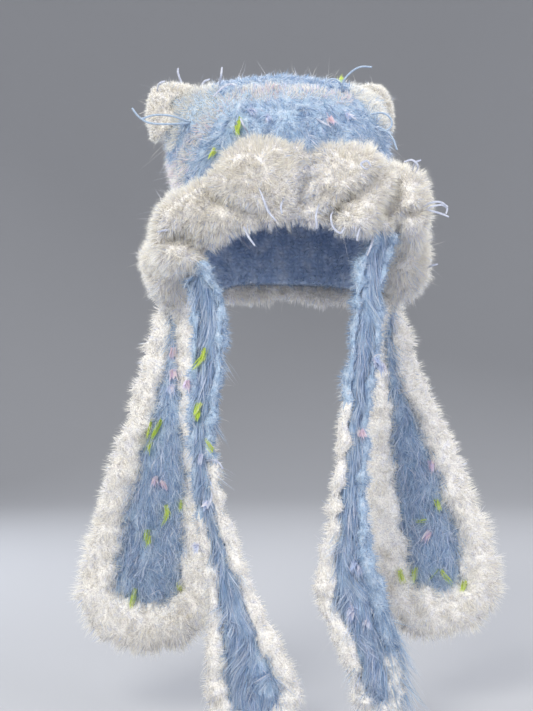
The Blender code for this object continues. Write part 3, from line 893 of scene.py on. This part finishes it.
# The bag's middle is this share of its height up. The hat is turned by this angle, and the
# far side of the bag mirrors its front across the turned middle plane.
CROWN_MIDDLE = 0.7
CROWN_TURN = math.radians(17.0)
low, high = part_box("crown_bag")
crown_middle = Vector(((low.x + high.x) / 2.0, (low.y + high.y) / 2.0,
                       low.z + (high.z - low.z) * CROWN_MIDDLE))
backwards = Vector((-math.sin(CROWN_TURN), math.cos(CROWN_TURN), 0.0))


def faces_out(place, normal):
    """Whether a face of the bag is an outer one."""
    middle = Vector((crown_middle.x, crown_middle.y, min(place.z, crown_middle.z)))
    return normal.dot(place - middle) > 0.0


def outside_crown(place, normal):
    """Whether a face of the bag is an outer one that neither ruffle nor ears cover."""
    if not faces_out(place, normal):
        return False
    start = place + normal * LOOK_START
    return (brim_tree.ray_cast(start, normal, BURIED_REACH)[0] is None
            and ear_tree.ray_cast(start, normal, BURIED_REACH)[0] is None)


def inside_crown(place, normal):
    return not faces_out(place, normal)


def far_side(place):
    """The same place on the far side of the bag."""
    return place - 2.0 * backwards * backwards.dot(place - crown_middle)


def show_wrong_side():
    """The bag's inner faces take the look of the crochet's wrong side."""
    crown.data.materials.append(wrong_side)
    for face in crown.data.polygons:
        face.material_index = 0 if faces_out(face.center, face.normal) else 1


# Pale rows along the bag's top edge and down its left side, through these pixels
CROWN_BAND = ((341, 99), (318, 92), (288, 92), (258, 93), (235, 99), (214, 112), (198, 136),
              (186, 160), (176, 184))
BAND_HALF_WIDTH = 0.012
# How far the edges of the band and the corners stray
BAND_STRAY = 0.008
CORNER_STRAY = 0.006
# More ice blue within this reach of the band's middle, and shorter lash within the next
BAND_ICE_REACH = 0.020
BAND_SHORT_REACH = 0.022
# White corners under the ears, as (column, row, radius in metres), and round the ears' feet
WHITE_CORNERS = ((174, 102, 0.030), (198, 100, 0.028), (366, 100, 0.022), (378, 112, 0.020))
EAR_FOOT_REACH = 0.020
CROWN_SAMPLES = 50000
INNER_SAMPLES = 18000
CROWN_DENSITY = 0.74
CROWN_ICE = 0.14
BAND_ICE = 0.30
ROW_PINK = 0.22
SWIRL_HANG = 0.22
# How much shorter the lash is by chance, on top of the bag, and in the band
SHORTER_BY_CHANCE = 0.25
SHORTER_ON_TOP = 0.40
SHORTER_IN_BAND = 0.30
# Gentle changes over the bag, as (distance, seed)
CROWN_PATCHES = (0.012, 3.0)
CROWN_SWIRL = (0.022, 5.0)
CROWN_LENGTHS = (0.015, 7.0)
INNER_COMBING = (0.02, 9.0)


def white_corners(places, strays):
    """Which places on the bag lie in its white corners."""
    to_ear = np.array([ear_tree.find_nearest(place)[3] for place in places])
    corner = to_ear + strays * BAND_STRAY < EAR_FOOT_REACH
    for column, row, radius in WHITE_CORNERS:
        for place in from_photo([(column, row)], crown_tree):
            for middle in (place, far_side(place)):
                corner |= spots(places, [middle]) + strays * CORNER_STRAY < radius
    return corner


def grow_crown(rng):
    """Blue lash and pale rows on the bag's outer faces, and shorter lash on its inner ones."""
    band = from_photo(CROWN_BAND, crown_tree)
    band += [far_side(place) for place in reversed(band)]
    places, normals = surface_points(crown, CROWN_SAMPLES, rng, outside_crown)
    strays = smooth_value(places, *CROWN_PATCHES)
    near = spots(places, along(band)) + strays * BAND_STRAY
    corner = white_corners(places, strays)
    pale = (near < BAND_HALF_WIDTH) | corner
    swirl = smooth_field(places, *CROWN_SWIRL)
    swirl[:, 2] -= SWIRL_HANG
    swirl = unit(flattened(swirl, normals))
    blue = ~pale & (rng.random(len(places)) < CROWN_DENSITY)
    tints = tint_of("blue", rng, len(places))
    icy = rng.random(len(places)) < CROWN_ICE + BAND_ICE * (near < BAND_ICE_REACH)
    tints = np.where(icy, tint_of("ice", rng, len(places)), tints)
    lengths = 1.0 - SHORTER_BY_CHANCE * smooth_value(places, *CROWN_LENGTHS)
    lengths *= (1.0 - SHORTER_ON_TOP * normals[:, 2].clip(0.0, 1.0)
                - SHORTER_IN_BAND * (near < BAND_SHORT_REACH))
    grow_fur("crown_lash", places[blue], normals[blue], swirl[blue], tints[blue], CROWN_LASH,
             blue_lash, rng, lengths[blue])
    pink = rng.random(len(places)) < np.where(corner, 0.0, ROW_PINK)
    tints = np.where(pink, tint_of("pink", rng, len(places)), tint_of("cream", rng, len(places)))
    grow_fur("crown_rows", places[pale], normals[pale], swirl[pale], tints[pale], EDGE_PILE,
             white_fur, rng)
    places, normals = surface_points(crown, INNER_SAMPLES, rng, inside_crown)
    combing = smooth_field(places, *INNER_COMBING)
    grow_fur("crown_inner_lash", places, normals, combing, tint_of("blue", rng, len(places)),
             INNER_LASH, blue_lash, rng)


def grow_white(name, places, normals, field, hang, icy, kind, rng, lengths=1.0):
    """White hairs or pile, combed down by hang and with a share of ice blue."""
    combing = smooth_field(places, *field)
    combing[:, 2] -= hang
    grow_fur(name, places, normals, combing, white_tints(len(places), rng, icy), kind,
             white_fur, rng, lengths)


EAR_BLADES = 7000
EAR_LENGTH = 0.62
EAR_CLEARANCE = 0.02
EAR_COMBING = (0.02, 8.0)


def grow_ears(rng):
    """Short white pile on the ears."""
    for side, ear in zip(("left", "right"), ears):
        places, normals = surface_points(ear, EAR_BLADES, rng, clear_of(crown_tree, EAR_CLEARANCE))
        grow_white(f"ear_{side}_fur", places, normals, EAR_COMBING, 0.0, PILE_ICE, EDGE_PILE,
                   rng, EAR_LENGTH)


BRIM_BLADES = 86000
BRIM_CLEARANCE = 0.012
BRIM_COMBING = (0.025, 11.0)
BRIM_PUFFS = (0.012, 13.0)
# Ice blue blades: their share all over, what the valley and the underside add as painted cool
# shade, and how wide the valley is
BRIM_ICE = 0.02
VALLEY_PAINTED_SHADE_ICE = 0.50
UNDERSIDE_PAINTED_SHADE_ICE = 0.24
VALLEY_WIDTH = 0.014
# How much longer the pile is by chance, and how much shorter in a fold
LONGER_BY_CHANCE = 0.22
SHORTER_IN_FOLD = 0.45


def grow_brim(rng):
    """White pile on the ruffle, shorter in the folds, with painted cool shade as ice blue below
    and in the valley.
    """
    places, normals = surface_points(brim, BRIM_BLADES, rng, clear_of(crown_tree, BRIM_CLEARANCE))
    combing = smooth_field(places, *BRIM_COMBING)
    valley = spots(places, along(folds[VALLEY][0]))
    # Painted cool shade: more ice blue in the valley between the middle lobes and on the underside
    icy = (BRIM_ICE + VALLEY_PAINTED_SHADE_ICE * np.exp(-(valley / VALLEY_WIDTH) ** 2)
           + UNDERSIDE_PAINTED_SHADE_ICE * (-normals[:, 2]).clip(0.0, 1.0))
    tints = white_tints(len(places), rng, icy)
    fold = np.zeros(len(places))
    for line, depth, width in folds:
        fold = np.maximum(fold, np.exp(-(spots(places, along(line)) / width) ** 2))
    lengths = ((1.0 + LONGER_BY_CHANCE * smooth_value(places, *BRIM_PUFFS))
               * (1.0 - SHORTER_IN_FOLD * fold))
    right = places[:, 0] > 0.0
    for side, half in (("left", ~right), ("right", right)):
        grow_fur(f"brim_fur_{side}", places[half], normals[half], combing[half], tints[half],
                 BRIM_PILE, white_fur, rng, lengths[half])


# Down to a height, some edging of the ties is as blue as the panel, on its left (-1) or right
# (1). The blue blades fade over the height above, and the felt under them ends a little higher.
BLUE_EDGES = dict(tie_left=((-1, -0.50), (1, -0.44)), tie_right=((-1, -0.38), (1, -0.65)))
EDGE_FADE = 0.05
FELT_RISE = 0.02
STRIP_CLEARANCE = 0.01
STRIP_ICE = 0.26
# The combing of a panel: how lively it is at its top, and what it gains at its bottom
PANEL_COMBING = (0.016, 17.0)
COMBING_TOP = 0.8
COMBING_GAIN = 1.4
EDGE_COMBING = (0.02, 19.0)
EDGE_HANG = 0.3


def blue_edging(name, places, tints, rng):
    """Turn the felt and the blades of a tie's upper edging blue, and return the new tints."""
    panel, trim = panels[name], trims[name]
    trim.data.materials.append(blue_base)
    centres = np.array([face.center for face in trim.data.polygons])
    bluish = np.zeros(len(centres), dtype=np.int32)
    share = np.zeros(len(places))
    for side, until in BLUE_EDGES[name]:
        across = (places[:, 0] - middle_line(panel, places[:, 2])) * side
        share += ((places[:, 2] - until) / EDGE_FADE).clip(0.0, 1.0) * (across > 0.0)
        across = (centres[:, 0] - middle_line(panel, centres[:, 2])) * side
        bluish += (across > 0.0) & (centres[:, 2] > until + FELT_RISE)
    trim.data.polygons.foreach_set("material_index", bluish)
    return np.where(rng.random(len(places)) < share, tint_of("blue", rng, len(places)), tints)


def grow_strip(name, rng):
    """Blue lash on the panel of a flap or tie, and white pile on its edging."""
    kind, panel, trim = strip_kind(name), panels[name], trims[name]
    places, normals = surface_points(panel, kind["panel_blades"], rng,
                                     clear_of(tree_of([trim]), STRIP_CLEARANCE))
    low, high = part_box(f"{name}_panel")
    fall = (high.z - places[:, 2]) / (high.z - low.z)
    combing = smooth_field(places, *PANEL_COMBING)
    combing *= (COMBING_TOP + COMBING_GAIN * fall ** 2)[:, None]
    combing[:, 2] -= 1.0
    tints = np.where(rng.random(len(places)) < STRIP_ICE, tint_of("ice", rng, len(places)),
                     tint_of("blue", rng, len(places)))
    grow_fur(f"{name}_lash", places, normals, unit(combing), tints, kind["lash"], blue_lash, rng)
    places, normals = surface_points(trim, kind["edge_blades"], rng,
                                     clear_of(tree_of([panel]), STRIP_CLEARANCE))
    combing = smooth_field(places, *EDGE_COMBING)
    combing[:, 2] -= EDGE_HANG
    low_down = ((high.z - places[:, 2]) / (high.z - low.z)).clip(0.0, 1.0) ** 2
    tints = white_tints(len(places), rng, PILE_ICE)
    if name in BLUE_EDGES:
        tints = blue_edging(name, places, tints, rng)
    start, gain = kind["pile"]
    grow_fur(f"{name}_pile", places, normals, combing, tints, EDGE_PILE, white_fur, rng,
             start + gain * low_down)


# Flecks where the photograph shows them, as (column, row), and more on the sides it hides
LIME_FLECKS = ((241, 121), (238, 127), (216, 150), (205, 350), (204, 357), (200, 404), (200, 410),
               (211, 450), (153, 420), (162, 421), (152, 443), (166, 506), (168, 512), (181, 501),
               (148, 530), (150, 536), (136, 590), (133, 596), (179, 593), (436, 500), (417, 520),
               (400, 570), (439, 570), (416, 568), (464, 583))
PINK_FLECKS = ((173, 349), (173, 371), (155, 478), (162, 481), (428, 531), (434, 461), (328, 121),
               (190, 380), (362, 430))
ICE_FLECKS = ((171, 386), (208, 500), (200, 545), (375, 361), (378, 364), (268, 118), (250, 112),
              (345, 116), (354, 562), (357, 566), (351, 606), (352, 612), (365, 620), (205, 455))
HIDDEN_FLECKS = 26
HIDDEN_PALETTES = ("lime", "pink", "lime", "ice")
FLECK_CLEARANCE = 0.01
# A hidden fleck's surface faces away from the camera by more than this
CROWN_AWAY = 0.0
PANEL_AWAY = 0.4


def find_flecks(rng):
    """The palette, place and normal of each fleck."""
    flecks = []
    for palette, pixels in (("lime", LIME_FLECKS), ("pink", PINK_FLECKS), ("ice", ICE_FLECKS)):
        for column, row in pixels:
            place, normal = body_tree.ray_cast(CAMERA_PLACE, pixel_ray(column, row))[:2]
            if place is not None:
                flecks.append((palette, place, normal))
    for body in [crown] + list(panels.values()):
        keep = outside_crown if body == crown else clear_of(body_tree, FLECK_CLEARANCE)
        places, normals = surface_points(body, HIDDEN_FLECKS, rng, keep)
        for place, normal in zip(places, normals):
            if normal[1] > (CROWN_AWAY if body == crown else PANEL_AWAY):
                palette = HIDDEN_PALETTES[int(rng.integers(0, len(HIDDEN_PALETTES)))]
                flecks.append((palette, Vector(place), Vector(normal)))
    return flecks


# Loose ends of smooth yarn on the bag, each from its tip to its root in the photograph
YARN_ENDS = (
    ((132, 108), (139, 117), (150, 123), (170, 124), (190, 123)),
    ((141, 119), (155, 115), (172, 116), (190, 122)),
    ((372, 67), (360, 67), (350, 73), (343, 82), (341, 92)),
    ((324, 87), (327, 81), (334, 79), (340, 83), (344, 92)),
    ((371, 114), (383, 113), (391, 119), (391, 127), (384, 131), (376, 128)),
    ((397, 150), (393, 139), (386, 131), (376, 126)),
)
# Ribbon bits and feather tips, from tip to root
RIBBONS = (
    ((178, 68), (179, 76), (182, 86)), ((222, 67), (221, 76), (219, 87)),
    ((165, 81), (159, 84), (157, 92)), ((210, 79), (203, 83), (197, 90)),
    ((213, 97), (222, 88), (230, 84), (238, 86)), ((240, 118), (244, 126), (249, 134)),
    ((404, 162), (412, 160), (418, 166), (415, 174)), ((421, 160), (415, 163), (412, 172)),
    ((448, 207), (440, 202), (430, 203), (422, 208)),
    ((449, 217), (442, 214), (432, 211), (424, 209)),
    ((446, 214), (447, 208), (441, 205), (431, 207), (423, 211)),
    ((438, 264), (431, 266), (424, 270)), ((317, 229), (316, 216), (319, 203)),
    ((282, 214), (281, 206), (285, 196)),
    ((345, 228), (340, 233), (333, 227), (331, 216), (335, 208)),
    ((276, 221), (268, 211), (263, 198), (258, 186)), ((357, 241), (358, 234), (361, 226)),
    ((367, 256), (371, 246), (374, 235)), ((255, 246), (248, 236), (243, 225)),
    ((250, 249), (243, 240), (240, 229)),
    ((371, 166), (367, 161), (361, 164), (366, 169), (371, 167)),
    ((157, 232), (168, 230), (180, 233)), ((330, 126), (322, 122), (316, 118)),
    ((223, 469), (219, 463), (213, 460), (206, 461)),
    ((205, 468), (209, 461), (215, 465), (219, 462)), ((207, 509), (211, 500), (212, 491)),
)

# Fine stray hairs round every furry body, as (body, count). Those on the bag and the ruffle
# are longer by up to the given share where they stand sideways or upwards.
STRAYS = [(brim, 700), (crown, 420), (ears[0], 90), (ears[1], 80)]
STRAYS += [(trims[name], 260) for name in STRIPS]
STRAY_GAIN = 0.8
STRAY_CLEARANCE = 0.02
STRAY_COMBING = (0.01, 41.0)
STRAY_HANG = 0.5
STRAY_ICE = 0.45


def grow_strays(rng):
    for body, count in STRAYS:
        keep = outside_crown if body == crown else clear_of(body_tree, STRAY_CLEARANCE)
        places, normals = surface_points(body, count, rng, keep)
        gain = STRAY_GAIN if body in (brim, crown) else 0.0
        grow_white(f"{body.name.rsplit('_', 1)[0]}_strays", places, normals, STRAY_COMBING,
                   STRAY_HANG, STRAY_ICE, STRAY_HAIR, rng,
                   1.0 + gain * (1.0 - np.abs(normals[:, 1])))


# Longer loose hairs in the lowest share of each flap and tie
FRINGE_SAMPLES = 900
FRINGE_REACH = 0.16
FRINGE_COMBING = (0.02, 43.0)
FRINGE_ICE = 0.5


def grow_fringe(name, rng):
    """Loose hairs under a flap or at the end of a tie."""
    places, normals = surface_points(trims[name], FRINGE_SAMPLES, rng,
                                     clear_of(body_tree, STRAY_CLEARANCE))
    low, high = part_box(f"{name}_trim")
    ends = places[:, 2] < low.z + FRINGE_REACH * (high.z - low.z)
    grow_white(f"{name}_fringe", places[ends], normals[ends], FRINGE_COMBING, 1.0, FRINGE_ICE,
               FRINGE_HAIR, rng)


# Lash that has come loose from the right tie's outer side, between two heights, and how far
# from the tie's middle it starts
LOOSE_SAMPLES = 5200
LOOSE_TOP = -0.575
LOOSE_BOTTOM = -0.675
LOOSE_ASIDE = 0.012
LOOSE_COMBING = (0.012, 47.0)
LOOSE_FALL = (0.9, 0.0, -1.4)


def grow_loose_lash(rng):
    places, normals = surface_points(trims["tie_right"], LOOSE_SAMPLES, rng)
    shown = ((places[:, 2] < LOOSE_TOP) & (places[:, 2] > LOOSE_BOTTOM)
             & (places[:, 0] > middle_line(panels["tie_right"], places[:, 2]) + LOOSE_ASIDE))
    places, normals = places[shown], normals[shown]
    combing = smooth_field(places, *LOOSE_COMBING) + np.array(LOOSE_FALL)
    grow_fur("tie_right_loose_lash", places, normals, combing,
             tint_of("blue", rng, len(places)), LOOSE_LASH, blue_lash, rng)


show_wrong_side()
rng = np.random.default_rng(SEED)
grow_crown(rng)
grow_ears(rng)
grow_brim(rng)
for name in STRIPS:
    grow_strip(name, rng)

bodies = [crown, brim] + list(panels.values()) + list(trims.values())
body_tree = tree_of(bodies)
flecks = find_flecks(rng)
grow_flecks("lime_flecks", [fleck for fleck in flecks if fleck[0] == "lime"], FLECK_TUFT, rng)
grow_flecks("pale_flecks", [fleck for fleck in flecks if fleck[0] != "lime"], PUFF_TUFT, rng)

yarn = yarn_material("smooth_yarn", YARN_SHADES, roughness=0.6)
crown_ear_tree = tree_of([crown] + ears)
lines = [photo_line(pixels, crown_ear_tree, YARN_LIFT) for pixels in YARN_ENDS]
swept_piece("yarn_ends", lines, yarn_section, yarn)
silk = yarn_material("ribbon_silk", SILK_SHADES, roughness=0.4)
ribbon_tree = tree_of(bodies + ears)
lines = [photo_line(pixels, ribbon_tree, RIBBON_LIFT) for pixels in RIBBONS]
swept_piece("ribbon_bits", lines, feather_section, silk)

grow_strays(rng)
for name in STRIPS:
    grow_fringe(name, rng)
grow_loose_lash(rng)

# Declarations
for name in STRIPS:
    low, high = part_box(f"{name}_panel")
